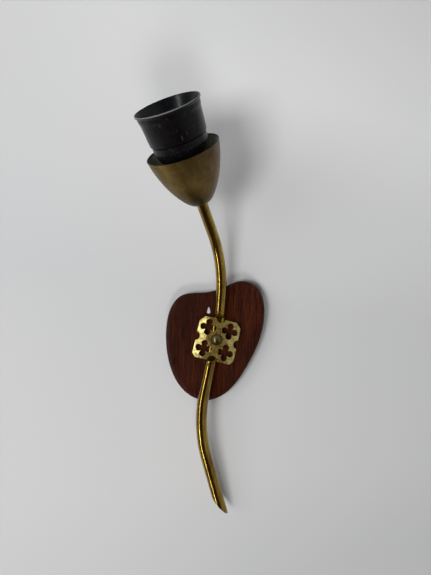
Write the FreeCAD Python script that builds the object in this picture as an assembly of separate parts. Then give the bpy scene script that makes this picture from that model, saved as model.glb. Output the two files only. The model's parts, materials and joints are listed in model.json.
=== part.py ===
import FreeCAD, Part
import math
import os

# A mid-century wall lamp in the form of a flower: a teak backplate, a bent brass stem clamped
# to it by one screw through a pierced square rosette, and a brass cup with an E27 lampholder.
# Millimetres.  +X is right seen from the front, +Z is up, the wall is the plane Y = 0, and the
# lamp stands out towards -Y.  The origin is where the centre screw's axis meets the wall.

V = FreeCAD.Vector
TURN = 360.0
SLACK = 0.02             # gap between brazed or pressed pieces, per side
HOLE_FIT = 0.1           # a screw's clearance in a plain hole, per side
CUT_FRONT_Y = -30.0      # cutters along Y that pass the stem and the rosette start here

# --- backplate ---------------------------------------------------------------------------
PLATE_T = 11.0           # thickness of the teak
PLATE_FRONT_ROUND = 3.0  # softened front edge
PLATE_BACK_ROUND = 1.2
PLATE_OUTLINE = [        # (x, z), anticlockwise from the right-hand side
    (36.8, 20.0), (35.6, 32.6), (30.5, 42.0), (21.6, 46.0), (12.0, 44.3), (3.0, 40.2),
    (-7.0, 37.4), (-17.0, 36.8), (-27.0, 34.8), (-34.4, 26.7), (-38.0, 13.5), (-38.3, -2.0),
    (-35.2, -18.6), (-28.3, -32.7), (-19.3, -41.0), (-8.0, -44.2), (2.8, -41.4),
    (12.8, -33.4), (21.3, -21.7), (29.5, -6.8), (34.5, 6.6),
]
HANG_X = -6.1            # the teardrop hanging hole
HANG_LOW_Z, HANG_LOW_R = 21.9, 1.45
HANG_TOP_Z, HANG_TOP_R = 26.0, 0.55
CHANNEL_W, CHANNEL_DEPTH = 6.5, 5.5
CHANNEL_ROUTE = [(3.1, 27.0), (12.0, 27.0), (12.0, -45.0)]

# --- stem --------------------------------------------------------------------------------
TUBE_R = 4.0             # 8 mm brass tube
TUBE_WALL = 0.8
STEM_Y = -15.3           # axis of the round tube where it crosses the plate, 0.3 clear of it
FLAT_T = 5.0             # thickness of the flattened stretch under the rosette
FLAT_W = 8.6             # its width: the jaws held its sides too
FLAT_TOP, FLAT_LOW = 16.8, -14.4     # its ends, measured up the stem from the screw
FLAT_LEAN = math.radians(9.8)
FLAT_X = -0.9            # the flattened stretch passes this far left of the screw
UP_START = V(2.25, STEM_Y, 18.9)
UP_CORNER = V(5.4, STEM_Y, 57.6)
CUP_SEAT = V(-10.7, -50.0, 94.9)
UP_BEND_R = 60.0
LOW_START = V(-4.2, STEM_Y, -16.6)
LOW_CORNER = V(-13.9, -18.5, -62.0)
LOW_END = V(6.6, -6.0, -132.0)
LOW_BEND_R = 85.0
JAW_MARK_R = 1.2         # the flattening jaws left two dimples across the front by each neck
JAW_MARK_DEPTH = 0.45
JAW_MARK_ANGLE = 19.0    # degrees each side of the front
JAW_MARK_OUT = 1.7       # past the neck, where the tube is round again
TAIL_TIP = V(8.2, -6.5, -121.6)
TAIL_CUT_NORMAL = V(-0.66, 0.42, -0.60)
TAIL_BLOCK = 80.0        # side of the block that takes the tail's waste off

# --- rosette and its screw ---------------------------------------------------------------
ROSETTE_SIDE = 31.4
ROSETTE_T = 0.8
ROSETTE_TURN = -12.8     # degrees about the screw
ROSETTE_FLAT = 16.2      # width of the flat middle: it folds where the holes weaken it
ROSETTE_BOW = 20.0       # degrees that each wing is folded back
ROSETTE_CORNER_TOP, ROSETTE_CORNER_LOW = 3.7, 2.8    # cut off the corners
NOTCH_R = 3.2
NOTCH_LOW_R = 3.9        # filed wider where the stem comes out below
NOTCH_OUT = 0.3          # the notch's centre lies this far outside the edge
QUATREFOIL_AT = 8.1
LOBE_R = 2.4
LOBE_OUT = 3.8
ARM_W = 3.8
ROSETTE_BACK_Y = -(PLATE_T + FLAT_T)
ROSETTE_CUT_Y = -12.0    # its cutters reach back to here
SCREW_R = 2.0
SCREW_HOLE_R = 2.15
SCREW_HEAD_R = 3.4
SCREW_HEAD_H = 2.5
SCREW_HEAD_RIM_H = 0.6   # straight rim under the dome
SCREW_END_Y = -0.4
RING_R = 4.2
RING_T = 0.5
NUT_POCKET_R = 6.5
NUT_POCKET_DEPTH = 4.5
REAR_WASHER_R, REAR_WASHER_T = 5.4, 0.8
REAR_NUT_AF, REAR_NUT_T = 7.0, 2.8
LEAD_HOLE_AT = UP_START + (UP_CORNER - UP_START) * 0.2085
BUSH_R, BUSH_BORE_R = 2.5, 1.7
BUSH_FLANGE_R, BUSH_FLANGE_T = 3.9, 1.0
BUSH_SEAT_Y = -7.0
BUSH_POCKET_GAP = 0.3
BUSH_SHORT = 0.4         # it stops this far outside the stem's bore

# --- cup and lampholder, heights T measured up the holder's axis from the cup seat -----------
HOLDER_AXIS = (CUP_SEAT - UP_CORNER).normalize()
CUP_R, CUP_DEPTH, CUP_WALL = 25.5, 40.5, 0.8
CUP_FLAT_R, CUP_HOLE_R = 5.4, 3.3
NIPPLE_R, NIPPLE_BORE_R, NIPPLE_TOP = 4.95, 2.0, 22.0
NIPPLE_FLANGE_R, NIPPLE_FLANGE_T = 5.15, 1.6
SPIGOT_LENGTH = 9.0
LOCK_NUT_AF, LOCK_NUT_T = 13.0, 2.6
LOCK_NUT_GAP = 0.2       # under the base cap
CAP_R, CAP_HUB_R, CAP_BASE_T = 18.9, 8.2, 8.0
SEAM_T = 48.3
LEDGE_T = 40.0
LEDGE_BORE_R = 11.6
LOCK_SCREW_R, LOCK_SCREW_T = 1.25, 14.0
CAP_COLLAR_R, CAP_COLLAR_TOP = 17.3, 56.0
INSERT_R, INSERT_H = 15.7, 5.0
INSERT_TOP_T = LEDGE_T + INSERT_H
INSERT_SCREWS = [(13.6, 0.0), (-13.6, 0.0)]
INSERT_SCREW_R, INSERT_SCREW_DEPTH = 1.1, 4.0
INSERT_SCREW_HEAD_R, INSERT_SCREW_HEAD_H = 2.0, 1.2
SLOT_W, SLOT_DEPTH = 0.5, 0.5
WIRE_HOLE_R, WIRE_HOLE_Y = 2.6, 3.0
TERMINALS = [(0.0, 9.0), (0.0, -9.0)]
TERMINAL_SIZE = V(6.0, 5.0, 3.5)
TERMINAL_GAP = 0.1
TERMINAL_BORE_R, TERMINAL_BORE_UP = 0.9, 1.2
TERMINAL_SCREW_R = 1.1
TERMINAL_SCREW_LOW, TERMINAL_SCREW_SUNK = 1.9, 0.7
THREAD_GAP = 0.1         # between the collar's thread and the skirt's
SKIRT_LOW_R, SKIRT_NECK_R = 19.8, 21.4
SEAM_CHAMFER = 0.4
SKIRT_RIM_R, SKIRT_TOP_T = 22.4, 70.4
SHELL_BORE_R, SHELL_WALL = 12.4, 0.4
SHELL_LOW_T, SHELL_TOP_T = 49.6, 61.0
SHELL_FLANGE_R = CAP_COLLAR_R - 2.0
SHELL_FIT = 0.05         # between the sleeve's flange and the skirt's step
CONTACT_W, CONTACT_T = 6.0, 0.5
RIVET_AT, RIVET_R, RIVET_H = -10.1, 1.0, 1.1
SIDE_CONTACT_W, SIDE_CONTACT_AT = 4.0, -12.9
SIDE_CONTACT_FOOT = 2.1


def wire(edges):
    return Part.Wire([e.toShape() if hasattr(e, "toShape") else e for e in edges])


def turned(points):
    """Solid of revolution about Z from a closed outline of (radius, height) points."""
    outline = Part.makePolygon([V(r, 0, t) for r, t in points + points[:1]])
    return Part.Face(outline).revolve(V(0, 0, 0), V(0, 0, 1), TURN)


def rod(radius, low, high, x=0.0, y=0.0):
    return Part.makeCylinder(radius, high - low, V(x, y, low), V(0, 0, 1))


def hexagon(across_flats, low, high):
    radius = across_flats / math.sqrt(3)
    corners = [V(radius * math.cos(a), radius * math.sin(a), low)
               for a in (math.radians(60 * k) for k in range(7))]
    return Part.Face(Part.makePolygon(corners)).extrude(V(0, 0, high - low))


def y_rod(radius, y_back, y_front, x=0.0, z=0.0):
    """Cylinder along Y from y_back (nearer the wall) out to y_front."""
    return Part.makeCylinder(radius, y_back - y_front, V(x, y_back, z), V(0, -1, 0))


def on_holder(shape):
    """Moves a piece built up the Z axis onto the lampholder's slanting axis."""
    placed = shape.copy()
    turn = FreeCAD.Rotation(V(0, 0, 1), HOLDER_AXIS)
    placed.Placement = FreeCAD.Placement(CUP_SEAT, turn)
    return placed


# --- backplate ---------------------------------------------------------------------------
def outline_edge():
    curve = Part.BSplineCurve()
    curve.interpolate([V(x, 0, z) for x, z in PLATE_OUTLINE], PeriodicFlag=True)
    return curve.toShape()


def edges_at(solid, y):
    """The edges that lie in the plane at this depth."""
    return [e for e in solid.Edges
            if abs(e.BoundBox.YMin - y) < 0.01 and abs(e.BoundBox.YMax - y) < 0.01]


def hanging_hole():
    """Teardrop: a large circle below, a small one above and their common tangents."""
    rise = HANG_TOP_Z - HANG_LOW_Z
    tilt = math.asin((HANG_LOW_R - HANG_TOP_R) / rise)
    side = V(math.cos(tilt), 0, math.sin(tilt))

    def at(z, radius, sign):
        return V(HANG_X + sign * radius * side.x, 0, z + radius * side.z)

    low, top = (HANG_LOW_Z, HANG_LOW_R), (HANG_TOP_Z, HANG_TOP_R)
    edges = [
        Part.LineSegment(at(*low, 1), at(*top, 1)),
        Part.Arc(at(*top, 1), V(HANG_X, 0, HANG_TOP_Z + HANG_TOP_R), at(*top, -1)),
        Part.LineSegment(at(*top, -1), at(*low, -1)),
        Part.Arc(at(*low, -1), V(HANG_X, 0, HANG_LOW_Z - HANG_LOW_R), at(*low, 1)),
    ]
    return Part.Face(wire(edges)).extrude(V(0, -PLATE_T, 0))


def lead_channel():
    """Groove in the wood's rear face, from behind the stem down to the lower edge."""
    cutter = None
    for (x0, z0), (x1, z1) in zip(CHANNEL_ROUTE, CHANNEL_ROUTE[1:]):
        run = V(x1 - x0, 0, z1 - z0)
        side = V(run.z, 0, -run.x).normalize() * (CHANNEL_W / 2)
        a, b = V(x0, 0, z0), V(x1, 0, z1)
        floor = Part.Face(Part.makePolygon([a + side, b + side, b - side, a - side, a + side]))
        piece = floor.extrude(V(0, -CHANNEL_DEPTH, 0))
        piece = piece.fuse(y_rod(CHANNEL_W / 2, 0, -CHANNEL_DEPTH, x1, z1))
        cutter = piece if cutter is None else cutter.fuse(piece)
    return cutter


def backplate():
    face = Part.Face(Part.Wire([outline_edge()]))
    wood = face.extrude(V(0, -PLATE_T, 0))
    wood = wood.makeFillet(PLATE_FRONT_ROUND, edges_at(wood, -PLATE_T))
    wood = wood.makeFillet(PLATE_BACK_ROUND, edges_at(wood, 0.0))
    x, z = LEAD_HOLE_AT.x, LEAD_HOLE_AT.z
    cutters = [
        hanging_hole(),
        lead_channel(),
        y_rod(SCREW_HOLE_R, 0, -PLATE_T),
        y_rod(NUT_POCKET_R, 0, -NUT_POCKET_DEPTH),
        y_rod(BUSH_R + SLACK, 0, -PLATE_T, x, z),
        y_rod(BUSH_FLANGE_R + BUSH_POCKET_GAP, 0, BUSH_SEAT_Y, x, z),
    ]
    for cutter in cutters:
        wood = wood.cut(cutter)
    return wood


# --- stem --------------------------------------------------------------------------------
def bent_pipe(start, corner, end, bend_r, radius):
    """Round bar along two straight runs joined by a tangent arc."""
    to_start, to_end = (start - corner).normalize(), (end - corner).normalize()
    half = to_start.getAngle(to_end) / 2
    first = corner + to_start * (bend_r / math.tan(half))
    last = corner + to_end * (bend_r / math.tan(half))
    bisector = (to_start + to_end).normalize()
    middle = corner + bisector * (bend_r / math.sin(half) - bend_r)
    path = wire([Part.LineSegment(start, first), Part.Arc(first, middle, last),
                 Part.LineSegment(last, end)])
    ring = Part.Wire([Part.makeCircle(radius, start, (corner - start))])
    return path.makePipeShell([ring], True, False)


def flat_frame():
    along = V(math.sin(FLAT_LEAN), 0, math.cos(FLAT_LEAN))
    across = V(math.cos(FLAT_LEAN), 0, -math.sin(FLAT_LEAN))
    middle = V(FLAT_X, -(PLATE_T + FLAT_T / 2), 0)
    return middle, along, across


def flat_section(distance, inset):
    """The flattened tube's outline, two lines and two half rounds, inset by the wall."""
    middle, along, across = flat_frame()
    out = V(0, -1, 0)
    radius = FLAT_T / 2 - inset
    reach = (FLAT_W - FLAT_T) / 2
    centre = middle + along * distance

    def at(a, o):
        return centre + across * a + out * o

    tip = reach + radius
    return wire([
        Part.LineSegment(at(reach, radius), at(-reach, radius)),
        Part.Arc(at(-reach, radius), at(-tip, 0), at(-reach, -radius)),
        Part.LineSegment(at(-reach, -radius), at(reach, -radius)),
        Part.Arc(at(reach, -radius), at(tip, 0), at(reach, radius)),
    ])


def round_section(centre, direction, radius):
    """A circle split into four arcs whose ends face the flattened outline's corners."""
    across = flat_frame()[2]
    across = (across - direction * across.dot(direction)).normalize()
    out = direction.cross(across).normalize()
    if out.y > 0:
        out = out * -1

    def at(degrees):
        a = math.radians(degrees)
        return centre + across * (radius * math.cos(a)) + out * (radius * math.sin(a))

    return wire([Part.Arc(at(a), at(a + 45), at(a + 90)) for a in (45, 135, 225, 315)])


def stem_body(inset, tail_reach):
    radius = TUBE_R - inset
    up_dir = (UP_CORNER - UP_START).normalize()
    low_dir = (LOW_CORNER - LOW_START).normalize()
    tail_dir = (LOW_END - LOW_CORNER).normalize()
    top = bent_pipe(UP_START, UP_CORNER, CUP_SEAT, UP_BEND_R, radius)
    low = bent_pipe(LOW_START, LOW_CORNER, LOW_END + tail_dir * tail_reach, LOW_BEND_R, radius)
    flat = Part.makeLoft([flat_section(FLAT_LOW, inset), flat_section(FLAT_TOP, inset)], True)
    top_neck = Part.makeLoft([flat_section(FLAT_TOP, inset),
                              round_section(UP_START, up_dir, radius)], True, True)
    low_neck = Part.makeLoft([flat_section(FLAT_LOW, inset),
                              round_section(LOW_START, low_dir, radius)], True, True)
    body = flat.fuse([top_neck, low_neck, top, low])
    return body.removeSplitter()


def tail_cutter():
    """Half space beyond the slanting cut, as a large block."""
    normal = V(TAIL_CUT_NORMAL).normalize()
    side = TAIL_BLOCK
    block = Part.makeBox(side, side, side, V(-side / 2, -side / 2, 0))
    block.Placement = FreeCAD.Placement(TAIL_TIP, FreeCAD.Rotation(V(0, 0, 1), normal))
    return block


def jaw_marks():
    """Small balls that press a pair of dimples into the tube's front just past each neck."""
    marks = []
    reach = TUBE_R + JAW_MARK_R - JAW_MARK_DEPTH
    for start, corner in ((UP_START, UP_CORNER), (LOW_START, LOW_CORNER)):
        centre = start + (corner - start).normalize() * JAW_MARK_OUT
        for sign in (-1, 1):
            a = math.radians(sign * JAW_MARK_ANGLE)
            out = V(math.sin(a), -math.cos(a), 0)
            marks.append(Part.makeSphere(JAW_MARK_R, centre + out * reach))
    return marks


def stem_tube():
    stem = stem_body(0.0, 0.0).cut(stem_body(TUBE_WALL, 1.0))
    stem = stem.cut(tail_cutter())
    for mark in jaw_marks():
        stem = stem.cut(mark)
    stem = stem.cut(y_rod(SCREW_HOLE_R, 0, CUT_FRONT_Y))
    x, z = LEAD_HOLE_AT.x, LEAD_HOLE_AT.z
    return stem.cut(y_rod(BUSH_R + SLACK, 0, STEM_Y, x, z))


# --- rosette and its screw ---------------------------------------------------------------
def quatrefoil():
    """Cutter along Y with four round lobes on a plain cross."""
    front, depth = CUT_FRONT_Y, ROSETTE_CUT_Y - CUT_FRONT_Y
    arm = LOBE_OUT
    shape = Part.makeBox(2 * arm, depth, ARM_W, V(-arm, front, -ARM_W / 2))
    shape = shape.fuse(Part.makeBox(ARM_W, depth, 2 * arm, V(-ARM_W / 2, front, -arm)))
    for x, z in ((LOBE_OUT, 0), (-LOBE_OUT, 0), (0, LOBE_OUT), (0, -LOBE_OUT)):
        shape = shape.fuse(y_rod(LOBE_R, ROSETTE_CUT_Y, front, x, z))
    return shape


def rosette():
    """A pierced square sheet, its flat middle strip on the stem and its wings folded back."""
    half, strip = ROSETTE_SIDE / 2, ROSETTE_FLAT / 2
    bow = math.radians(ROSETTE_BOW)
    drop = (half - strip) * math.tan(bow)
    front = ROSETTE_BACK_Y - ROSETTE_T
    profile = [V(-half, front + drop, -half), V(-strip, front, -half), V(strip, front, -half),
               V(half, front + drop, -half), V(half, ROSETTE_BACK_Y + drop, -half),
               V(strip, ROSETTE_BACK_Y, -half), V(-strip, ROSETTE_BACK_Y, -half),
               V(-half, ROSETTE_BACK_Y + drop, -half)]
    sheet = Part.Face(Part.makePolygon(profile + profile[:1])).extrude(V(0, 0, ROSETTE_SIDE))
    cutters = [y_rod(SCREW_R + HOLE_FIT, ROSETTE_CUT_Y, CUT_FRONT_Y)]
    for x in (-1, 1):
        for z in (-1, 1):
            hole = quatrefoil()
            hole.translate(V(x * QUATREFOIL_AT, 0, z * QUATREFOIL_AT))
            cutters.append(hole)
            short = half - (ROSETTE_CORNER_TOP if z > 0 else ROSETTE_CORNER_LOW)
            corner = [V(x * half, CUT_FRONT_Y, z * half), V(x * short, CUT_FRONT_Y, z * half),
                      V(x * half, CUT_FRONT_Y, z * short)]
            triangle = Part.Face(Part.makePolygon(corner + corner[:1]))
            cutters.append(triangle.extrude(V(0, ROSETTE_CUT_Y - CUT_FRONT_Y, 0)))
    edge = half + NOTCH_OUT
    for x, z in ((edge, 0), (-edge, 0), (0, edge)):
        cutters.append(y_rod(NOTCH_R, ROSETTE_CUT_Y, CUT_FRONT_Y, x, z))
    cutters.append(y_rod(NOTCH_LOW_R, ROSETTE_CUT_Y, CUT_FRONT_Y, 0, -edge))
    for cutter in cutters:
        sheet = sheet.cut(cutter)
    sheet.rotate(V(0, 0, 0), V(0, 1, 0), -ROSETTE_TURN)
    return sheet


def screw_ring():
    back = ROSETTE_BACK_Y - ROSETTE_T
    ring = y_rod(RING_R, back, back - RING_T)
    return ring.cut(y_rod(SCREW_R + HOLE_FIT, back, back - RING_T))


def centre_screw():
    """Round-headed screw: the head is a dome of the given height on a short rim."""
    seat = ROSETTE_BACK_Y - ROSETTE_T - RING_T
    rim = SCREW_HEAD_RIM_H
    dome_h = SCREW_HEAD_H - rim
    sphere_r = (SCREW_HEAD_R ** 2 + dome_h ** 2) / (2 * dome_h)
    ball = Part.makeSphere(sphere_r, V(0, seat - rim - dome_h + sphere_r, 0))
    head = ball.common(y_rod(SCREW_HEAD_R, seat - rim, seat - SCREW_HEAD_H - 1))
    head = head.fuse(y_rod(SCREW_HEAD_R, seat, seat - rim))
    shank = y_rod(SCREW_R, SCREW_END_Y, seat)
    return head.fuse(shank).removeSplitter()


def rear_washer():
    back = -NUT_POCKET_DEPTH + REAR_WASHER_T
    ring = y_rod(REAR_WASHER_R, back, -NUT_POCKET_DEPTH)
    return ring.cut(y_rod(SCREW_R + HOLE_FIT, back, -NUT_POCKET_DEPTH))


def rear_nut():
    low = NUT_POCKET_DEPTH - REAR_WASHER_T
    nut = hexagon(REAR_NUT_AF, low - REAR_NUT_T, low)
    nut = nut.cut(rod(SCREW_R + SLACK, low - REAR_NUT_T, low))
    nut.rotate(V(0, 0, 0), V(1, 0, 0), 90)
    return nut


def lead_bush():
    """Insulating bush that lines the lead's way through the wood into the stem."""
    x, z = LEAD_HOLE_AT.x, LEAD_HOLE_AT.z
    inner_end = STEM_Y + TUBE_R - TUBE_WALL - BUSH_SHORT
    body = y_rod(BUSH_R, BUSH_SEAT_Y, inner_end, x, z)
    flange = y_rod(BUSH_FLANGE_R, BUSH_SEAT_Y + BUSH_FLANGE_T, BUSH_SEAT_Y, x, z)
    return body.fuse(flange).cut(y_rod(BUSH_BORE_R, 0, inner_end, x, z))


# --- cup and lampholder --------------------------------------------------------------------
def bezier(poles):
    curve = Part.BezierCurve()
    curve.setPoles([V(r, 0, t) for r, t in poles])
    return curve


def cup():
    """Spun brass cup: a curved shell, open at the top, with a flat bottom round its hole."""
    rim_in = CUP_R - CUP_WALL
    outside = [(CUP_FLAT_R, 0), (9.7, 0.2), (22.1, 17.0), (CUP_R, CUP_DEPTH)]
    inside = [(rim_in, CUP_DEPTH), (21.2, 17.4), (9.3, 1.0), (CUP_FLAT_R - 0.2, CUP_WALL)]
    profile = wire([
        Part.LineSegment(V(CUP_HOLE_R, 0, 0), V(CUP_FLAT_R, 0, 0)),
        bezier(outside),
        Part.LineSegment(V(CUP_R, 0, CUP_DEPTH), V(rim_in, 0, CUP_DEPTH)),
        bezier(inside),
        Part.LineSegment(V(CUP_FLAT_R - 0.2, 0, CUP_WALL), V(CUP_HOLE_R, 0, CUP_WALL)),
        Part.LineSegment(V(CUP_HOLE_R, 0, CUP_WALL), V(CUP_HOLE_R, 0, 0)),
    ])
    return on_holder(Part.Face(profile).revolve(V(0, 0, 0), V(0, 0, 1), TURN))


def threaded_nipple():
    """Its spigot is brazed into the tube's end, its flange clamps the cup's bottom."""
    spigot_r = TUBE_R - TUBE_WALL - SLACK
    flange_top = CUP_WALL + NIPPLE_FLANGE_T
    return on_holder(turned([
        (NIPPLE_BORE_R, -SPIGOT_LENGTH), (spigot_r, -SPIGOT_LENGTH), (spigot_r, CUP_WALL),
        (NIPPLE_FLANGE_R, CUP_WALL), (NIPPLE_FLANGE_R, flange_top), (NIPPLE_R, flange_top),
        (NIPPLE_R, NIPPLE_TOP), (NIPPLE_BORE_R, NIPPLE_TOP),
    ]))


def lock_nut():
    top = CAP_BASE_T - LOCK_NUT_GAP
    nut = hexagon(LOCK_NUT_AF, top - LOCK_NUT_T, top)
    return on_holder(nut.cut(rod(NIPPLE_R + SLACK, 0, CAP_BASE_T)))


def base_cap():
    """Bakelite cap: a threaded hub below, a ledge for the insert and a collar for the skirt."""
    bore = NIPPLE_R + SLACK
    cap = turned([
        (bore, CAP_BASE_T), (CAP_HUB_R, CAP_BASE_T), (CAP_HUB_R, 20.0), (11.0, 23.0),
        (14.6, 34.5), (16.6, 37.4), (18.1, 40.0), (CAP_R, 43.4), (CAP_R, SEAM_T - SEAM_CHAMFER),
        (CAP_R - SEAM_CHAMFER, SEAM_T), (CAP_COLLAR_R, SEAM_T), (CAP_COLLAR_R, CAP_COLLAR_TOP),
        (INSERT_R + HOLE_FIT, CAP_COLLAR_TOP), (INSERT_R + HOLE_FIT, LEDGE_T),
        (LEDGE_BORE_R, LEDGE_T), (LEDGE_BORE_R, 35.0), (8.4, 25.0), (bore, 22.6),
    ])
    for x, y in INSERT_SCREWS:
        cap = cap.cut(rod(INSERT_SCREW_R + SLACK, LEDGE_T - INSERT_SCREW_DEPTH, LEDGE_T, x, y))
    return on_holder(cap.cut(lock_screw_rod(LOCK_SCREW_R)))


def lock_screw_rod(radius):
    return Part.makeCylinder(radius, CAP_HUB_R, V(0, 0, LOCK_SCREW_T), V(1, 0, 0))


def cap_lock_screw():
    """Grub screw in the hub that stops the cap turning on the nipple."""
    screw = lock_screw_rod(LOCK_SCREW_R - SLACK)
    return on_holder(screw.cut(rod(NIPPLE_R + SLACK, 0, NIPPLE_TOP)))


def block(size, x, y, low):
    """Box centred on (x, y) that stands on the given height."""
    return Part.makeBox(size.x, size.y, size.z, V(x - size.x / 2, y - size.y / 2, low))


def insert():
    """Porcelain insert: a disc with terminal pockets in its underside."""
    disc = rod(INSERT_R, LEDGE_T, INSERT_TOP_T)
    disc = disc.cut(rod(WIRE_HOLE_R, LEDGE_T, INSERT_TOP_T, 0.0, WIRE_HOLE_Y))
    for x, y in INSERT_SCREWS:
        disc = disc.cut(rod(INSERT_SCREW_R + HOLE_FIT, LEDGE_T, INSERT_TOP_T, x, y))
    gap = TERMINAL_GAP
    for x, y in TERMINALS:
        pocket = block(TERMINAL_SIZE + V(2 * gap, 2 * gap, gap), x, y, LEDGE_T)
        shaft = rod(TERMINAL_SCREW_R + HOLE_FIT, LEDGE_T, INSERT_TOP_T, x, y)
        disc = disc.cut(pocket).cut(shaft)
    return on_holder(disc)


def insert_screws():
    screws = []
    head_top = INSERT_TOP_T + INSERT_SCREW_HEAD_H
    low = LEDGE_T - INSERT_SCREW_DEPTH + SLACK
    for x, y in INSERT_SCREWS:
        shank = rod(INSERT_SCREW_R, low, INSERT_TOP_T, x, y)
        head = rod(INSERT_SCREW_HEAD_R, INSERT_TOP_T, head_top, x, y)
        slot = block(V(2 * INSERT_SCREW_HEAD_R, SLOT_W, SLOT_DEPTH), x, y, head_top - SLOT_DEPTH)
        screws.append(shank.fuse(head).cut(slot))
    return on_holder(Part.makeCompound(screws))


def terminal(place):
    """Brass block in the insert's pocket, cross-drilled for the wire."""
    x, y = place
    wire_t = LEDGE_T + TERMINAL_BORE_UP
    body = block(TERMINAL_SIZE, x, y, LEDGE_T)
    bore = Part.makeCylinder(TERMINAL_BORE_R, TERMINAL_SIZE.x,
                             V(x - TERMINAL_SIZE.x / 2, y, wire_t), V(1, 0, 0))
    return on_holder(body.cut(bore).cut(rod(TERMINAL_SCREW_R + SLACK, wire_t, INSERT_TOP_T, x, y)))


def live_terminal():
    return terminal(TERMINALS[0])


def neutral_terminal():
    return terminal(TERMINALS[1])


def terminal_screws():
    low, top = LEDGE_T + TERMINAL_SCREW_LOW, INSERT_TOP_T - TERMINAL_SCREW_SUNK
    screws = [rod(TERMINAL_SCREW_R, low, top, x, y) for x, y in TERMINALS]
    return on_holder(Part.makeCompound(screws))


def strip(points, width, thickness):
    """A bent strip lying along X: (x, height) points of its underside."""
    top = [(x, t + thickness) for x, t in reversed(points)]
    outline = [V(x, -width / 2, t) for x, t in points + top]
    return Part.Face(Part.makePolygon(outline + outline[:1])).extrude(V(0, width, 0))


def centre_contact():
    """Springy tongue over the insert's middle: it rises from its root to a raised tip."""
    top = INSERT_TOP_T
    tongue = strip([(-8.6, top + 0.35), (-4.5, top + 1.3), (0.5, top + 3.3), (2.6, top + 3.3),
                    (4.2, top + 2.7)], CONTACT_W, CONTACT_T)
    return on_holder(tongue)


def contact_foot():
    """Riveted foot of the centre contact, which the tongue springs from."""
    top = INSERT_TOP_T
    foot = strip([(-11.4, top), (-8.9, top)], CONTACT_W, CONTACT_T)
    return on_holder(foot.fuse(rod(RIVET_R, top, top + RIVET_H, RIVET_AT, 0)))


def side_contact():
    """Strip bent up from the insert to the threaded sleeve's lower rim."""
    width, at = SIDE_CONTACT_W, SIDE_CONTACT_AT
    rise = SHELL_LOW_T - INSERT_TOP_T
    foot_size = (width, SIDE_CONTACT_FOOT + CONTACT_T, CONTACT_T)
    foot = Part.makeBox(*foot_size, V(-width / 2, at - SIDE_CONTACT_FOOT, INSERT_TOP_T))
    upright = Part.makeBox(width, CONTACT_T, rise, V(-width / 2, at, INSERT_TOP_T))
    return on_holder(foot.fuse(upright).removeSplitter())


def screw_shell():
    """Threaded brass sleeve for the bulb's cap, with a flange that the skirt holds down."""
    bore, outer = SHELL_BORE_R, SHELL_BORE_R + SHELL_WALL
    flange_low = SHELL_TOP_T - SHELL_WALL
    return on_holder(turned([
        (bore, SHELL_LOW_T), (outer, SHELL_LOW_T), (outer, flange_low),
        (SHELL_FLANGE_R, flange_low), (SHELL_FLANGE_R, SHELL_TOP_T), (bore, SHELL_TOP_T),
    ]))


def skirt():
    """Bakelite skirt: screwed on the cap's collar, flared to a thin lip round its mouth."""
    low, top = SEAM_T + 0.2, SKIRT_TOP_T
    thread_r = CAP_COLLAR_R + THREAD_GAP
    step_r, step_t = SHELL_FLANGE_R + 2 * HOLE_FIT, SHELL_TOP_T + SHELL_FIT
    return on_holder(turned([
        (thread_r, low), (SKIRT_LOW_R - SEAM_CHAMFER, low), (SKIRT_LOW_R, low + SEAM_CHAMFER),
        (SKIRT_LOW_R + 0.2, low + 2.6),
        (SKIRT_NECK_R - 0.6, 64.4), (SKIRT_NECK_R, 65.2), (SKIRT_NECK_R + 0.2, 68.4),
        (SKIRT_RIM_R, 69.2), (SKIRT_RIM_R, top), (SKIRT_RIM_R - 1.0, top),
        (20.2, 67.0), (18.6, 62.4), (14.4, SHELL_TOP_T + 0.3), (14.4, step_t),
        (step_r, step_t), (step_r, 57.4), (thread_r, 57.0),
    ]))


PARTS = {
    "backplate": backplate,
    "stem_tube": stem_tube,
    "rosette": rosette,
    "screw_ring": screw_ring,
    "centre_screw": centre_screw,
    "rear_washer": rear_washer,
    "rear_nut": rear_nut,
    "lead_bush": lead_bush,
    "cup": cup,
    "threaded_nipple": threaded_nipple,
    "lock_nut": lock_nut,
    "base_cap": base_cap,
    "cap_lock_screw": cap_lock_screw,
    "insert": insert,
    "insert_screws": insert_screws,
    "live_terminal": live_terminal,
    "neutral_terminal": neutral_terminal,
    "terminal_screws": terminal_screws,
    "centre_contact": centre_contact,
    "contact_foot": contact_foot,
    "side_contact": side_contact,
    "screw_shell": screw_shell,
    "skirt": skirt,
}

os.makedirs("parts", exist_ok=True)
for name, make in PARTS.items():
    shape = make()
    shape.exportStep("parts/%s.step" % name)
    box = shape.BoundBox
    print("%-18s solids %d  valid %s  volume %8.1f  box %s" % (
        name, len(shape.Solids), shape.isValid(), shape.Volume,
        [round(v, 1) for v in (box.XMin, box.YMin, box.ZMin, box.XMax, box.YMax, box.ZMax)]))
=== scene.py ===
import json
import math

import bmesh
import bpy
from mathutils import Matrix, Vector


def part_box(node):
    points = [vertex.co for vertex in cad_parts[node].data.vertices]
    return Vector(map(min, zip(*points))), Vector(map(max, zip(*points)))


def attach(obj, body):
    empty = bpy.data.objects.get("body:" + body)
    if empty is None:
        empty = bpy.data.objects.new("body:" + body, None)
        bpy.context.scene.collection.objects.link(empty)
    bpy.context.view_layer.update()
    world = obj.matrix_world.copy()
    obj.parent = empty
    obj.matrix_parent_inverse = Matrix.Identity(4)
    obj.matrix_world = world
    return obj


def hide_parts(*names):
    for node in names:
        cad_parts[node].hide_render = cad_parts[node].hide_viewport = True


# A flower-shaped wall lamp: teak backplate, bent brass stem, pierced rosette, tarnished brass cup
# and a black bakelite lampholder.  Metres, in the frame of the CAD model: +X is right, +Z is up,
# the wall is the plane Y = 0 and the lamp stands out towards -Y.

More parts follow.
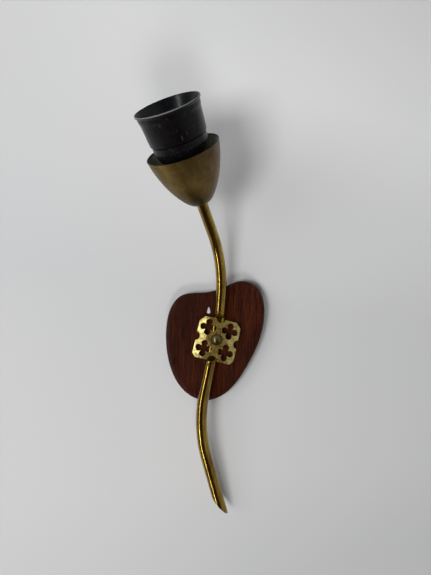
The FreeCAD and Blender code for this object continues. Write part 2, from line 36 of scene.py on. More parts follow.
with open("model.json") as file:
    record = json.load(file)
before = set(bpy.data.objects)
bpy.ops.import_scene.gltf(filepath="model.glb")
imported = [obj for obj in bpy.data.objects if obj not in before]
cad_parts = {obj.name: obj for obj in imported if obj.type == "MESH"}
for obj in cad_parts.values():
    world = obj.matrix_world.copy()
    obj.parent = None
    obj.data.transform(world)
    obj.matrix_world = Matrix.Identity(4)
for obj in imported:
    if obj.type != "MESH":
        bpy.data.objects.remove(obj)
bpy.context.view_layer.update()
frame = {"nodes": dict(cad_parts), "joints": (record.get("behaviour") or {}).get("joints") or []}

MM = 0.001
SEGMENTS = 144           # round the pieces turned about the lampholder's axis
AXIS_MARK_T = 60.0       # mm up the lampholder where the skirt's joint is placed


# --- places taken from the frame -----------------------------------------------------------
def joint(name):
    return next(j for j in frame["joints"] if j["name"] == name)


HOLDER_AXIS = Vector(joint("skirt_turn")["axis"]).normalized()
HOLDER_SEAT = Vector(joint("skirt_turn")["pos_m"]) - HOLDER_AXIS * AXIS_MARK_T * MM
HOLDER_TURN = Vector((0, 0, 1)).rotation_difference(HOLDER_AXIS).to_matrix().to_4x4()
HOLDER = Matrix.Translation(HOLDER_SEAT) @ HOLDER_TURN
PLATE_BACK_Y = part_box("backplate")[1].y


# --- nodes ---------------------------------------------------------------------------------
def wire_up(tree, socket, value):
    """Links a node's output to a socket, or sets the socket to a plain value."""
    if isinstance(value, bpy.types.NodeSocket):
        tree.links.new(value, socket)
    else:
        socket.default_value = value


def node(tree, kind, inputs=(), **settings):
    made = tree.nodes.new(kind)
    for key, value in settings.items():
        setattr(made, key, value)
    for key, value in dict(inputs).items():
        wire_up(tree, made.inputs[key], value)
    return made


def rgb(red, green, blue):
    """Colour from 0-255 sRGB values."""
    def linear(c):
        c /= 255
        return c / 12.92 if c <= 0.04045 else ((c + 0.055) / 1.055) ** 2.4
    return (linear(red), linear(green), linear(blue), 1.0)


def coordinates(tree, scale=(1, 1, 1), turn=(0, 0, 0)):
    """Object coordinates, scaled: larger numbers make finer detail along that axis."""
    place = node(tree, "ShaderNodeTexCoord").outputs["Object"]
    return node(tree, "ShaderNodeMapping", {
        "Vector": place, "Scale": scale, "Rotation": [math.radians(a) for a in turn],
    }).outputs["Vector"]


def noise(tree, vector, detail=3.0, roughness=0.55, distortion=0.0):
    """Cloudy 0-1 pattern, as fine as its coordinates are scaled."""
    return node(tree, "ShaderNodeTexNoise", {
        "Vector": vector, "Scale": 1.0, "Detail": detail, "Roughness": roughness,
        "Distortion": distortion,
    }).outputs["Fac"]


def ramp(tree, factor, stops):
    """Maps 0-1 to values or colours at the given stops."""
    made = node(tree, "ShaderNodeValToRGB", {"Fac": factor})
    elements = made.color_ramp.elements
    while len(elements) < len(stops):
        elements.new(0.5)
    for element, (at, value) in zip(elements, stops):
        element.position = at
        element.color = value if isinstance(value, tuple) else (value, value, value, 1.0)
    return made.outputs["Color"]


def blend_colours(tree, factor, a, b, mode="MIX"):
    made = node(tree, "ShaderNodeMix", data_type="RGBA", blend_type=mode)
    for index, value in ((0, factor), (6, a), (7, b)):
        wire_up(tree, made.inputs[index], value)
    return made.outputs[2]


def maths(tree, operation, a, b=0.0):
    made = node(tree, "ShaderNodeMath", operation=operation)
    wire_up(tree, made.inputs[0], a)
    wire_up(tree, made.inputs[1], b)
    return made.outputs[0]


def scaled(tree, value, factor, offset=0.0):
    """value * factor + offset"""
    product = maths(tree, "MULTIPLY", value, factor)
    return maths(tree, "ADD", product, offset) if offset else product


def object_axes(tree):
    """The X, Y and Z of the place on the object."""
    place = node(tree, "ShaderNodeTexCoord").outputs["Object"]
    return node(tree, "ShaderNodeSeparateXYZ", {"Vector": place}).outputs


def mesh_mark(tree, name):
    """A value that the mesh carries under this name."""
    return node(tree, "ShaderNodeAttribute", attribute_name=name).outputs["Fac"]


def bump(tree, height, strength, distance, under=None):
    inputs = {"Height": height, "Strength": strength, "Distance": distance}
    if under is not None:
        inputs["Normal"] = under
    return node(tree, "ShaderNodeBump", inputs).outputs["Normal"]


def material(name, **plain):
    """New material whose Principled sockets named in plain hold plain values."""
    made = bpy.data.materials.new(name)
    made.use_nodes = True
    shader = made.node_tree.nodes["Principled BSDF"]
    for key, value in plain.items():
        shader.inputs[key.replace("_", " ")].default_value = value
    return made, made.node_tree, shader


# --- materials -----------------------------------------------------------------------------
def teak():
    """Dark oiled teak, its fine grain running up the backplate."""
    made, tree, shader = material("teak", Specular_IOR_Level=0.13)
    wander = noise(tree, coordinates(tree, (30, 30, 9)), 3.0, 0.6)
    figure = noise(tree, coordinates(tree, (640, 260, 26)), 4.0, 0.65, 0.8)
    streaks = noise(tree, coordinates(tree, (1700, 900, 90)), 4.0, 0.7)
    pores = noise(tree, coordinates(tree, (3200, 1800, 150)), 2.0, 0.5)
    broad = maths(tree, "ADD", scaled(tree, wander, 0.45), scaled(tree, figure, 0.55))
    wood = ramp(tree, broad, [(0.34, rgb(40, 15, 9)), (0.50, rgb(62, 26, 14)),
                              (0.66, rgb(92, 44, 24))])
    fine = ramp(tree, streaks, [(0.34, rgb(112, 100, 94)), (0.62, rgb(255, 255, 255))])
    wood = blend_colours(tree, 0.85, wood, fine, "MULTIPLY")
    dark = ramp(tree, pores, [(0.34, 0.10), (0.46, 1.0)])
    wood = blend_colours(tree, 0.6, wood, dark, "MULTIPLY")
    tree.links.new(wood, shader.inputs["Base Color"])
    gloss = ramp(tree, streaks, [(0.3, 0.60), (0.7, 0.42)])
    tree.links.new(gloss, shader.inputs["Roughness"])
    rough = bump(tree, streaks, 0.35, 0.00025)
    tree.links.new(bump(tree, pores, 0.4, 0.00012, rough), shader.inputs["Normal"])
    return made


def stem_brass():
    """Lacquered tube gone olive, with long drawing marks, brown specks and patina."""
    made, tree, shader = material("stem_brass", Metallic=1.0, Coat_Weight=0.5,
                                  Coat_Roughness=0.1)
    patina = noise(tree, coordinates(tree, (90, 90, 26)), 4.0, 0.6)
    drawn = noise(tree, coordinates(tree, (1400, 1400, 18)), 3.0, 0.6)
    specks = noise(tree, coordinates(tree, (700, 700, 420)), 3.0, 0.6)
    gold = ramp(tree, patina, [(0.34, rgb(124, 94, 28)), (0.52, rgb(162, 132, 42)),
                               (0.70, rgb(194, 168, 64))])
    lines = ramp(tree, drawn, [(0.30, rgb(130, 112, 84)), (0.60, rgb(255, 255, 255))])
    gold = blend_colours(tree, 0.6, gold, lines, "MULTIPLY")
    spots = ramp(tree, specks, [(0.28, rgb(70, 50, 26)), (0.40, rgb(255, 255, 255))])
    gold = blend_colours(tree, 0.7, gold, spots, "MULTIPLY")
    tree.links.new(gold, shader.inputs["Base Color"])
    tree.links.new(ramp(tree, patina, [(0.3, 0.20), (0.7, 0.12)]), shader.inputs["Roughness"])
    tree.links.new(bump(tree, drawn, 0.015, 0.0001), shader.inputs["Normal"])
    return made


ROSETTE_TONE_SPAN = 0.02     # from its browner middle outwards to its lighter sides, which carry a painted highlight


def rosette_brass():
    """Pressed sheet, a little wavy from hand work, with fine brushing and brown stains."""
    made, tree, shader = material("rosette_brass", Metallic=0.76, Coat_Weight=0.4,
                                  Coat_Roughness=0.2)
    cloud = noise(tree, coordinates(tree, (150, 150, 150)), 4.0, 0.6)
    stains = noise(tree, coordinates(tree, (520, 520, 520)), 3.0, 0.65)
    brushing = noise(tree, coordinates(tree, (300, 300, 2600), (0, -12.8, 0)), 2.0, 0.5)
    sideways = maths(tree, "ABSOLUTE", object_axes(tree)["X"])
    gold = ramp(tree, cloud, [(0.32, rgb(170, 148, 84)), (0.5, rgb(206, 192, 112)),
                              (0.7, rgb(232, 224, 144))])
    browner_middle = ramp(tree, cloud, [(0.32, rgb(146, 118, 62)), (0.5, rgb(186, 160, 88)),
                                 (0.7, rgb(214, 194, 112))])
    # painted highlight: the bent-back sides are painted lighter and yellower than the middle, for
    # the light they catch
    painted_highlight_sides = ramp(tree, scaled(tree, sideways, 1.0 / ROSETTE_TONE_SPAN),
                 [(0.22, 0.0), (0.50, 1.0)])
    brass = blend_colours(tree, painted_highlight_sides, browner_middle, gold)
    brown = ramp(tree, stains, [(0.36, rgb(132, 96, 58)), (0.52, rgb(255, 255, 255))])
    brass = blend_colours(tree, 0.65, brass, brown, "MULTIPLY")
    lines = ramp(tree, brushing, [(0.3, rgb(186, 172, 150)), (0.65, rgb(255, 255, 255))])
    brass = blend_colours(tree, 0.45, brass, lines, "MULTIPLY")
    tree.links.new(brass, shader.inputs["Base Color"])
    tree.links.new(ramp(tree, cloud, [(0.3, 0.42), (0.7, 0.26)]), shader.inputs["Roughness"])
    waves = bump(tree, cloud, 0.5, 0.0008)
    tree.links.new(bump(tree, brushing, 0.10, 0.0001, waves), shader.inputs["Normal"])
    return made


def screw_brass():
    """Handled brass, browner in random cloudy patches."""
    made, tree, shader = material("screw_brass", Metallic=1.0, Coat_Weight=0.5,
                                  Coat_Roughness=0.1)
    cloud = noise(tree, coordinates(tree, (260, 260, 260)), 4.0, 0.6)
    brass = ramp(tree, cloud, [(0.34, rgb(84, 70, 38)), (0.66, rgb(134, 116, 64))])
    tree.links.new(brass, shader.inputs["Base Color"])
    tree.links.new(ramp(tree, cloud, [(0.3, 0.46), (0.7, 0.30)]), shader.inputs["Roughness"])
    scuffs = noise(tree, coordinates(tree, (900, 900, 900)), 2.0)
    tree.links.new(bump(tree, scuffs, 0.12, 0.0001), shader.inputs["Normal"])
    return made


CUP_WIDTH, CUP_HEIGHT = 0.05, 0.04     # about the cup's size, for tones that change along it


def cup_brass():
    """Spun brass gone olive brown, in the cup's own frame: Z runs up its axis.  The mesh says
    where it is inside, and dull, and where its rim is painted near black as painted shade."""
    made, tree, shader = material("cup_brass")
    cloud = noise(tree, coordinates(tree, (50, 50, 38)), 5.0, 0.62)
    runs = noise(tree, coordinates(tree, (150, 150, 14)), 3.0, 0.55)
    spun = noise(tree, coordinates(tree, (40, 40, 1800)), 2.0, 0.5)
    mottle = noise(tree, coordinates(tree, (620, 620, 620)), 3.0, 0.6)
    parts = object_axes(tree)
    # darker and redder towards the cup's +X side, and darker towards its bottom near the stem
    sideways = scaled(tree, parts["X"], 1.0 / CUP_WIDTH, 0.5)
    height = scaled(tree, parts["Z"], 1.0 / CUP_HEIGHT)
    gold = ramp(tree, cloud, [(0.30, rgb(116, 94, 54)), (0.5, rgb(140, 118, 69)),
                              (0.7, rgb(160, 136, 80))])
    ruddy = ramp(tree, cloud, [(0.30, rgb(92, 74, 52)), (0.7, rgb(124, 101, 72))])
    brass = blend_colours(tree, ramp(tree, sideways, [(0.45, 0.0), (0.85, 1.0)]), gold, ruddy)
    low = ramp(tree, height, [(0.05, rgb(150, 146, 120)), (0.45, rgb(232, 232, 226)),
                              (0.9, rgb(255, 255, 255))])
    brass = blend_colours(tree, 1.0, brass, low, "MULTIPLY")
    stains = ramp(tree, runs, [(0.34, rgb(204, 190, 172)), (0.60, rgb(255, 255, 255))])
    brass = blend_colours(tree, 0.6, brass, stains, "MULTIPLY")
    spots = ramp(tree, mottle, [(0.30, rgb(186, 176, 164)), (0.50, rgb(255, 255, 255))])
    brass = blend_colours(tree, 0.35, brass, spots, "MULTIPLY")
    lines = ramp(tree, spun, [(0.3, rgb(214, 206, 196)), (0.65, rgb(255, 255, 255))])
    brass = blend_colours(tree, 0.5, brass, lines, "MULTIPLY")
    inside, rim = mesh_mark(tree, "inside"), mesh_mark(tree, "rim")
    brass = blend_colours(tree, inside, brass, rgb(150, 150, 132))
    # painted shade: the rim is painted near black, a dark line of shade along its edge
    brass = blend_colours(tree, rim, brass, rgb(30, 26, 18))
    tree.links.new(brass, shader.inputs["Base Color"])
    tree.links.new(maths(tree, "SUBTRACT", 1.0, scaled(tree, inside, 0.7)),
                   shader.inputs["Metallic"])
    tree.links.new(ramp(tree, cloud, [(0.3, 0.50), (0.7, 0.34)]), shader.inputs["Roughness"])
    fine = bump(tree, spun, 0.10, 0.0001)
    tree.links.new(bump(tree, mottle, 0.06, 0.0001, fine), shader.inputs["Normal"])
    return made


def bakelite():
    """Black moulding compound, dulled by age, with pale scuffs and dust."""
    made, tree, shader = material("bakelite", Specular_IOR_Level=0.22)
    cloud = noise(tree, coordinates(tree, (70, 70, 50)), 4.0, 0.6)
    scuffs = noise(tree, coordinates(tree, (900, 900, 200)), 5.0, 0.7)
    dust = noise(tree, coordinates(tree, (1100, 1100, 1100)), 3.0, 0.6)
    black = ramp(tree, cloud, [(0.35, rgb(5, 4, 5)), (0.7, rgb(15, 13, 15))])
    marks = ramp(tree, scuffs, [(0.57, rgb(0, 0, 0)), (0.72, rgb(84, 84, 92))])
    black = blend_colours(tree, 0.55, black, marks, "ADD")
    specks = ramp(tree, dust, [(0.68, rgb(0, 0, 0)), (0.76, rgb(90, 90, 90))])
    black = blend_colours(tree, 0.5, black, specks, "ADD")
    painted_lip_highlight, mouth = mesh_mark(tree, "painted_lip_highlight"), mesh_mark(tree, "mouth")
    # painted highlight: a pale grey line painted along the lip's outer edge
    black = blend_colours(tree, painted_lip_highlight, black, rgb(140, 140, 142))
    black = blend_colours(tree, mouth, black, rgb(15, 18, 21))
    tree.links.new(black, shader.inputs["Base Color"])
    gloss = ramp(tree, cloud, [(0.3, 0.38), (0.7, 0.26)])
    tree.links.new(maths(tree, "SUBTRACT", gloss, scaled(tree, mouth, 0.04)),
                   shader.inputs["Roughness"])
    tree.links.new(bump(tree, dust, 0.12, 0.0001), shader.inputs["Normal"])
    return made


def plain_metal(name, dark, light, rough_low, rough_high, scale=400):
    """Metal with a cloudy tone, for the pieces inside and behind."""
    made, tree, shader = material(name, Metallic=1.0)
    cloud = noise(tree, coordinates(tree, (scale, scale, scale)), 4.0, 0.6)
    tone = ramp(tree, cloud, [(0.34, dark), (0.66, light)])
    tree.links.new(tone, shader.inputs["Base Color"])
    tree.links.new(ramp(tree, cloud, [(0.3, rough_high), (0.7, rough_low)]),
                   shader.inputs["Roughness"])
    return made


def dull(name, dark, light, roughness, scale=300):
    """Non-metal with a slight mottle: porcelain or fibre."""
    made, tree, shader = material(name, Roughness=roughness)
    cloud = noise(tree, coordinates(tree, (scale, scale, scale)), 3.0, 0.6)
    tree.links.new(ramp(tree, cloud, [(0.34, dark), (0.66, light)]), shader.inputs["Base Color"])
    tree.links.new(bump(tree, cloud, 0.08, 0.0001), shader.inputs["Normal"])
    return made


MATERIALS = {
    "teak": teak(),
    "stem_brass": stem_brass(),
    "rosette_brass": rosette_brass(),
    "screw_brass": screw_brass(),
    "cup_brass": cup_brass(),
    "bakelite": bakelite(),
    "plain_brass": plain_metal("plain_brass", rgb(150, 118, 62), rgb(206, 172, 104), 0.25, 0.42),
    "steel": plain_metal("steel", rgb(120, 120, 122), rgb(176, 176, 178), 0.28, 0.45),
    "contact_bronze": plain_metal("contact_bronze", rgb(150, 104, 66), rgb(206, 156, 108),
                                  0.2, 0.4),
    "porcelain": dull("porcelain", rgb(206, 200, 188), rgb(228, 224, 214), 0.25),
    "bush": dull("bush", rgb(52, 48, 46), rgb(74, 70, 66), 0.6, 900),
}


# --- pieces --------------------------------------------------------------------------------
CURVE_STEPS, RIM_STEPS = 48, 6    # spans of the cup's side and of its rim
ROUND_STEPS = 5          # short spans in one rounded corner
ROUND_REACH = 0.45       # the most of a side that one corner's curve takes


def round_corners(points):
    """Closed outline of (radius, height, rounding) in mm: each corner becomes a small curve."""
    outline = []
    for i, (r, t, rounding) in enumerate(points):
        corner = Vector((r, t))
        before = Vector(points[i - 1][:2]) - corner
        after = Vector(points[(i + 1) % len(points)][:2]) - corner
        reach = min(rounding, ROUND_REACH * before.length, ROUND_REACH * after.length)
        if reach <= 0:
            outline.append(corner)
            continue
        start, end = corner + before.normalized() * reach, corner + after.normalized() * reach
        for k in range(ROUND_STEPS + 1):
            s = k / ROUND_STEPS
            outline.append(start * (1 - s) ** 2 + corner * 2 * s * (1 - s) + end * s ** 2)
    return outline


def bezier(poles):
    """Points along a cubic curve, both ends included."""
    a, b, c, d = (Vector(p) for p in poles)
    return [a * (1 - s) ** 3 + b * 3 * s * (1 - s) ** 2 + c * 3 * s * s * (1 - s) + d * s ** 3
            for s in (k / CURVE_STEPS for k in range(CURVE_STEPS + 1))]


def large_faces_first(piece):
    """Shades each corner by the largest faces round it."""
    weights = piece.modifiers.new("flat_faces_first", "WEIGHTED_NORMAL")
    weights.keep_sharp = True


def add_piece(name, build, body, slot, nodes):
    """Lampholder piece made by a bmesh builder, riding on its body and replacing its nodes."""
    mesh = bpy.data.meshes.new(name)
    bm = bmesh.new()
    build(bm)
    bmesh.ops.recalc_face_normals(bm, faces=bm.faces)
    bm.to_mesh(mesh)
    bm.free()
    for polygon in mesh.polygons:
        polygon.use_smooth = True
    piece = bpy.data.objects.new(name, mesh)
    bpy.context.scene.collection.objects.link(piece)
    piece.matrix_world = HOLDER
    piece.data.materials.append(MATERIALS[slot])
    large_faces_first(piece)
    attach(piece, body)
    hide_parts(*nodes)
    return piece


def ring_of(bm, places):
    """Vertices round the axis from (radius, height, angle) places, lengths in mm."""
    return [bm.verts.new((r * MM * math.cos(a), r * MM * math.sin(a), t * MM))
            for r, t, a in places]


def skin(bm, rings):
    """Faces between each ring and the next, the last one joined to the first."""
    for i, ring in enumerate(rings):
        following = rings[(i + 1) % len(rings)]
        for k in range(len(ring)):
            n = (k + 1) % len(ring)
            bm.faces.new((ring[k], ring[n], following[n], following[k]))


def turned(outline, marks=None):
    """Builder of a solid of revolution about Z from a closed (radius, height) outline in mm.
    marks gives named vertex values, one for each point of the outline."""
    def build(bm):
        layers = {name: bm.verts.layers.float.new(name) for name in marks or {}}
        rings = []
        for place, (r, t) in enumerate(outline):
            ring = ring_of(bm, [(r, t, 2 * math.pi * k / SEGMENTS) for k in range(SEGMENTS)])
            for name, layer in layers.items():
                for vert in ring:
                    vert[layer] = marks[name][place]
            rings.append(ring)
        skin(bm, rings)
    return build


def cup_piece():
    """The spun cup: a thin shell with a softly rounded rim."""
    rim_r, inner_r, rim_t, lip = 25.5, 24.7, 40.3, 0.2
    hole_r, wall = 3.3, 0.8
    outside = bezier([(5.4, 0), (9.7, 0.2), (22.1, 17.0), (rim_r, rim_t)])
    inside = bezier([(inner_r, rim_t), (21.2, 17.4), (9.3, 1.0), (5.2, wall)])
    middle, half = (rim_r + inner_r) / 2, (rim_r - inner_r) / 2
    rim = [Vector((middle + half * math.cos(a), rim_t + lip * math.sin(a)))
           for a in (math.pi * k / RIM_STEPS for k in range(1, RIM_STEPS))]
    outline = [Vector((hole_r, 0.0))] + outside + rim + inside + [Vector((hole_r, wall))]
    before, after = 1 + len(outside), len(inside) + 1
    marks = {
        "inside": [0.0] * (before + len(rim)) + [1.0] * after,
        # the rim's points carry the mark for the rim's painted shade
        "rim": [0.0] * before + [1.0] * (len(rim) + 1) + [0.0] * (after - 1),
    }
    return add_piece("spun_cup", turned(outline, marks), "lamp", "cup_brass", ["cup"])


SKIRT_LIP = 8                # the outline's corner at the lip's outer edge
SKIRT_MOUTH = (10, 11, 12)   # its corners inside the mouth
# strength of the painted highlight along the lip
LIP_PAINTED_HIGHLIGHT = 0.7


def skirt_piece():
    """The flared skirt, its moulded edges rounded."""
    outline = round_corners([
        (17.4, 48.5, 0.1), (19.4, 48.5, 0.2), (19.8, 48.9, 0.2), (20.0, 51.1, 0.2),
        (20.8, 63.8, 1.2), (21.4, 65.6, 1.2), (21.6, 68.4, 0.4), (22.4, 69.2, 0.25),
        (22.4, 70.4, 0.25), (21.7, 70.4, 0.3), (20.2, 67.0, 2.0), (18.6, 62.4, 1.0),
        (14.4, 61.3, 0.1), (14.4, 61.05, 0.05), (15.5, 61.05, 0.05), (15.5, 57.4, 0.2),
        (17.4, 57.0, 0.2),
    ])
    corners = [i // (ROUND_STEPS + 1) for i in range(len(outline))]
    marks = {
        # the lip's corner carries the painted highlight
        "painted_lip_highlight": [LIP_PAINTED_HIGHLIGHT if corner == SKIRT_LIP else 0.0 for corner in corners],
        "mouth": [1.0 if corner in SKIRT_MOUTH else 0.0 for corner in corners],
    }
    return add_piece("bakelite_skirt", turned(outline, marks), "skirt", "bakelite", ["skirt"])


EASED_EDGE = 0.00018     # width of the small flats on the rosette's edges
SAME_PLACE = 1e-6        # points closer than this are one
FLAT_ANGLE, SHARP_ANGLE = math.radians(1), math.radians(40)


def eased_piece(name, cad_node, body, slot, width):
    """The CAD piece again with its sharp edges eased, so that they catch the light."""
    piece = bpy.data.objects.new(name, frame["nodes"][cad_node].data.copy())
    bpy.context.scene.collection.objects.link(piece)
    piece.matrix_world = frame["nodes"][cad_node].matrix_world
    bm = bmesh.new()
    bm.from_mesh(piece.data)
    bmesh.ops.remove_doubles(bm, verts=bm.verts, dist=SAME_PLACE)
    bmesh.ops.dissolve_limit(bm, angle_limit=FLAT_ANGLE, verts=bm.verts, edges=bm.edges)
    for face in bm.faces:
        face.smooth = True
    bm.to_mesh(piece.data)
    bm.free()
    piece.data.materials.clear()
    piece.data.materials.append(MATERIALS[slot])
    bevel = piece.modifiers.new("eased_edges", "BEVEL")
    bevel.width, bevel.segments = width, 2
    bevel.limit_method, bevel.angle_limit = "ANGLE", SHARP_ANGLE
    large_faces_first(piece)
    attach(piece, body)
    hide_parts(cad_node)
    return piece


THREAD_PITCH = 3.63      # E27, seven turns to the inch
THREAD_MIDDLE, THREAD_SWING = 12.97, 0.40    # radius of the rolled wave, and how far it swings
SHEET_T = 0.28
SLEEVE_LOW, THREAD_TOP, SLEEVE_TOP = 49.6, 59.4, 61.0
THREAD_FADE = 1.2        # the wave dies away over this much of each end
SLEEVE_ROWS, SLEEVE_SEGMENTS = 70, 96
FLANGE_BEND = [(THREAD_MIDDLE, 60.2), (13.1, 60.55), (13.5, 60.75), (14.2, 60.8), (15.3, 60.8)]
BEND_REACH = 1.2         # outwards from the thread until the flange is level


def threaded_sleeve():
    """Rolled thread between a plain lower rim and the flange that the skirt holds down."""
    half = SHEET_T / 2
    angles = [2 * math.pi * k / SLEEVE_SEGMENTS for k in range(SLEEVE_SEGMENTS)]

    def middle(t, angle):
        fade = min(1.0, (t - SLEEVE_LOW) / THREAD_FADE, (THREAD_TOP - t) / THREAD_FADE)
        wave = math.cos(2 * math.pi * t / THREAD_PITCH - angle)
        return THREAD_MIDDLE + THREAD_SWING * max(0.0, fade) * wave

    def thread_row(t, offset):
        return [(middle(t, a) + offset, t, a) for a in angles]

    def flange_row(r, t, sign):
        """The sheet's face on one side, turning from upright to level along the bend."""
        level = min(1.0, max(0.0, (r - THREAD_MIDDLE) / BEND_REACH))
        out, up = -sign * half * (1 - level), sign * half * level
        return [(r + out, min(t + up, SLEEVE_TOP), a) for a in angles]

    def build(bm):
        heights = [SLEEVE_LOW + (THREAD_TOP - SLEEVE_LOW) * k / SLEEVE_ROWS
                   for k in range(SLEEVE_ROWS + 1)]
        inner = [thread_row(t, -half) for t in heights]
        inner += [flange_row(r, t, 1) for r, t in FLANGE_BEND]
        outer = [thread_row(t, half) for t in heights]
        outer += [flange_row(r, t, -1) for r, t in FLANGE_BEND]
        skin(bm, [ring_of(bm, row) for row in inner + outer[::-1]])

    return add_piece("threaded_sleeve", build, "sleeve", "plain_brass", ["screw_shell"])


cup_piece()
skirt_piece()
threaded_sleeve()
eased_piece("pierced_rosette", "rosette", "lamp", "rosette_brass", EASED_EDGE)

# the CAD pieces that are shown as they are take the material of their slot
for name, shown in frame["nodes"].items():
    slot_name = shown.data.materials[0].name.split(".")[0]
    shown.data.materials.clear()
    shown.data.materials.append(MATERIALS[slot_name])


# --- stage, light and camera ---------------------------------------------------------------
WALL_Y = PLATE_BACK_Y + 0.0004
PATCH_Y = 0.0002         # glowing patch of painted light behind the hanging hole, just in front of the wall
HOLE_LOW, HOLE_HIGH = Vector((-8.7, 19.5)) * MM, Vector((-3.5, 28.5)) * MM
FLOOR_Z = -0.21
STAGE_REACH = 1.5        # how far the wall and the floor run each way
TARGET = (0.0, 0.0, 0.03)
ROOM_SOFT, ROOM_MIRRORED = 0.20, 0.58    # strength as seen by dull and by mirroring surfaces


def sheet_object(name, corners, surface):
    """Flat sheet of the stage through four corners."""
    mesh = bpy.data.meshes.new(name)
    mesh.from_pydata(corners, [], [(0, 1, 2, 3)])
    made = bpy.data.objects.new(name, mesh)
    bpy.context.scene.collection.objects.link(made)
    made.data.materials.append(surface)
    return made


def upright_sheet(name, y, low, high, surface):
    """Sheet facing the camera, between two (across, up) corners."""
    return sheet_object(name, [(low[0], y, low[1]), (high[0], y, low[1]),
                               (high[0], y, high[1]), (low[0], y, high[1])], surface)


def see_through(tree, shader, open_way):
    """Lets the sheet vanish where open_way is 1."""
    clear = node(tree, "ShaderNodeBsdfTransparent").outputs[0]
    both = node(tree, "ShaderNodeMixShader")
    wire_up(tree, both.inputs[0], open_way)
    tree.links.new(shader.outputs[0], both.inputs[1])
    tree.links.new(clear, both.inputs[2])
    tree.links.new(both.outputs[0], tree.nodes["Material Output"].inputs["Surface"])


SHADE_FROM, SHADE_SPAN = -0.04, 0.6      # the painted shade's tone at this height, and its change upwards
SHADE_START = 0.33                       # where that height lies on the ramp of tones
SHADE_LEAN = 1.9                         # how much faster the tone changes towards the right


def wall_surface():
    """Pale paper with painted shade, darker low down, most so on the right: seen from the front
    only, and no hindrance to light.
    """
    made, tree, shader = material("wall", Roughness=0.85)
    cloud = noise(tree, coordinates(tree, (4, 4, 4)), 2.0)
    pale = ramp(tree, cloud, [(0.3, rgb(250, 251, 253)), (0.7, rgb(254, 254, 254))])
    parts = object_axes(tree)
    height = maths(tree, "SUBTRACT", parts["Z"], SHADE_FROM)
    steeper = scaled(tree, parts["X"], SHADE_LEAN, 1.0)
    climb = scaled(tree, maths(tree, "MULTIPLY", height, steeper), 1.0 / SHADE_SPAN, SHADE_START)
    # painted shade: the paper is painted darker downwards and towards the lower right, for the
    # room's light falling off
    shade = ramp(tree, climb, [(0.10, 0.57), (0.23, 0.645), (0.45, 0.70), (0.80, 1.0)])
    pale = blend_colours(tree, 1.0, pale, shade, "MULTIPLY")
    tree.links.new(pale, shader.inputs["Base Color"])
    behind = node(tree, "ShaderNodeNewGeometry").outputs["Backfacing"]
    shadow = node(tree, "ShaderNodeLightPath").outputs["Is Shadow Ray"]
    see_through(tree, shader, maths(tree, "MAXIMUM", behind, shadow))
    return made


def patch_surface():
    """Glowing patch behind the hanging hole: painted light where no light of the room reaches."""
    made, tree, shader = material("hole_glow_patch", Roughness=0.9)
    shader.inputs["Base Color"].default_value = (0, 0, 0, 1)
    cloud = noise(tree, coordinates(tree, (300, 300, 300)), 2.0)
    tree.links.new(ramp(tree, cloud, [(0.3, rgb(176, 170, 170)), (0.7, rgb(206, 200, 202))]),
                   shader.inputs["Emission Color"])
    shader.inputs["Emission Strength"].default_value = 1.0
    see_through(tree, shader, node(tree, "ShaderNodeNewGeometry").outputs["Backfacing"])
    return made


def floor_surface():
    """Plain pale floor, well below the lamp."""
    made, tree, shader = material("floor", Roughness=0.8)
    cloud = noise(tree, coordinates(tree, (5, 5, 5)), 2.0)
    tree.links.new(ramp(tree, cloud, [(0.3, rgb(214, 214, 213)), (0.7, rgb(222, 222, 221))]),
                   shader.inputs["Base Color"])
    return made


def area_light(name, place, target, width, height, watts, mirrored=False, lighting=True):
    """Lamp that may be seen mirrored in the pieces, may light them and the wall, or both."""
    light = bpy.data.lights.new(name, "AREA")
    light.shape, light.size, light.size_y = "RECTANGLE", width, height
    light.energy = watts
    made = bpy.data.objects.new(name, light)
    bpy.context.scene.collection.objects.link(made)
    made.location = place
    made.visible_camera = False
    made.visible_glossy, made.visible_diffuse = mirrored, lighting
    aim = Vector(target) - Vector(place)
    made.rotation_euler = aim.to_track_quat("-Z", "Y").to_euler()
    return made


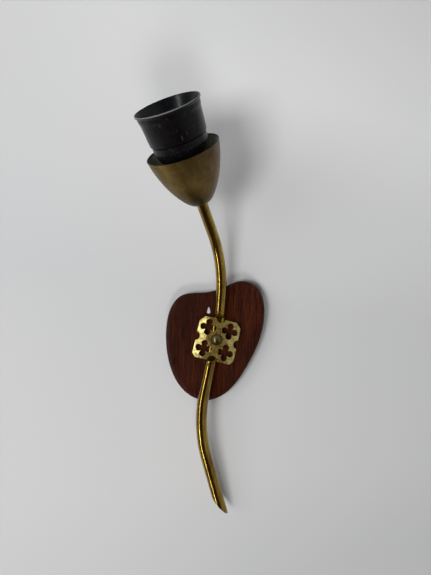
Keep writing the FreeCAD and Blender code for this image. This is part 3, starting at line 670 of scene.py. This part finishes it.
def room():
    """World light by direction: dim to the left, dark in front and below, bright above, to the
    right and behind."""
    world = bpy.data.worlds.new("room")
    bpy.context.scene.world = world
    world.use_nodes = True
    tree = world.node_tree
    direction = node(tree, "ShaderNodeTexCoord").outputs["Generated"]
    parts = node(tree, "ShaderNodeSeparateXYZ", {"Vector": direction}).outputs
    across, inward, upward = (scaled(tree, parts[axis], 0.5, 0.5) for axis in "XYZ")
    sides = ramp(tree, across, [
        (0.00, (0.20, 0.20, 0.20, 1)), (0.12, (0.24, 0.24, 0.23, 1)),
        (0.24, (0.10, 0.08, 0.05, 1)), (0.34, (0.055, 0.038, 0.020, 1)),
        (0.62, (0.055, 0.038, 0.020, 1)), (0.69, (0.36, 0.34, 0.31, 1)),
        (0.82, (0.60, 0.60, 0.58, 1)), (1.00, (0.56, 0.56, 0.56, 1)),
    ])
    above = ramp(tree, upward, [(0.62, 0.0), (0.86, 1.0)])
    below = ramp(tree, upward, [(0.10, 1.0), (0.42, 0.0)])
    mixed = blend_colours(tree, above, sides, (0.72, 0.75, 0.78, 1.0))
    mixed = blend_colours(tree, below, mixed, (0.075, 0.052, 0.030, 1.0))
    rear = ramp(tree, inward, [(0.50, 0.0), (0.56, 1.0)])
    mixed = blend_colours(tree, rear, mixed, (0.56, 0.57, 0.58, 1.0))
    background = tree.nodes["Background"]
    tree.links.new(mixed, background.inputs["Color"])
    mirrored = node(tree, "ShaderNodeLightPath").outputs["Is Glossy Ray"]
    tree.links.new(scaled(tree, mirrored, ROOM_MIRRORED, ROOM_SOFT), background.inputs["Strength"])


upright_sheet("hole_glow_patch", PATCH_Y, HOLE_LOW, HOLE_HIGH, patch_surface())
upright_sheet("wall", WALL_Y, (-STAGE_REACH, FLOOR_Z), (STAGE_REACH, STAGE_REACH), wall_surface())
floor = sheet_object("floor", [(x * STAGE_REACH, y * STAGE_REACH, FLOOR_Z)
                               for x, y in ((-1, -1), (1, -1), (1, 1), (-1, 1))], floor_surface())
floor.visible_glossy = floor.visible_diffuse = floor.visible_shadow = False
room()
area_light("window", (-0.95, -0.95, -0.30), (0.0, 0.0, -0.30), 0.11, 2.4, 10.8,
           mirrored=True, lighting=False)
area_light("low_left", (-0.43, -1.0, -0.28), TARGET, 0.34, 0.34, 6.2)
area_light("left", (-1.0, -0.9, 0.1), TARGET, 0.8, 0.8, 4.6)
area_light("low", (0.05, -0.9, -0.78), TARGET, 0.24, 0.26, 3.6)
area_light("behind", (0.45, 0.9, 0.5), TARGET, 0.8, 0.8, 4.0, mirrored=True)

CAMERA_PLACE = (-0.00081, -0.3892, -0.0262)
CAMERA_TILT = math.radians(100)      # level is 90, so it looks up by 10

camera_data = bpy.data.cameras.new("camera")
camera_data.sensor_width = 36.0
camera_data.lens = 31.3
camera = bpy.data.objects.new("camera", camera_data)
bpy.context.scene.collection.objects.link(camera)
camera.location = CAMERA_PLACE
camera.rotation_euler = (CAMERA_TILT, 0, 0)
camera_data.clip_start, camera_data.clip_end = 0.01, 10
bpy.context.scene.camera = camera
bpy.context.scene.view_settings.view_transform = "Standard"

bpy.context.view_layer.update()
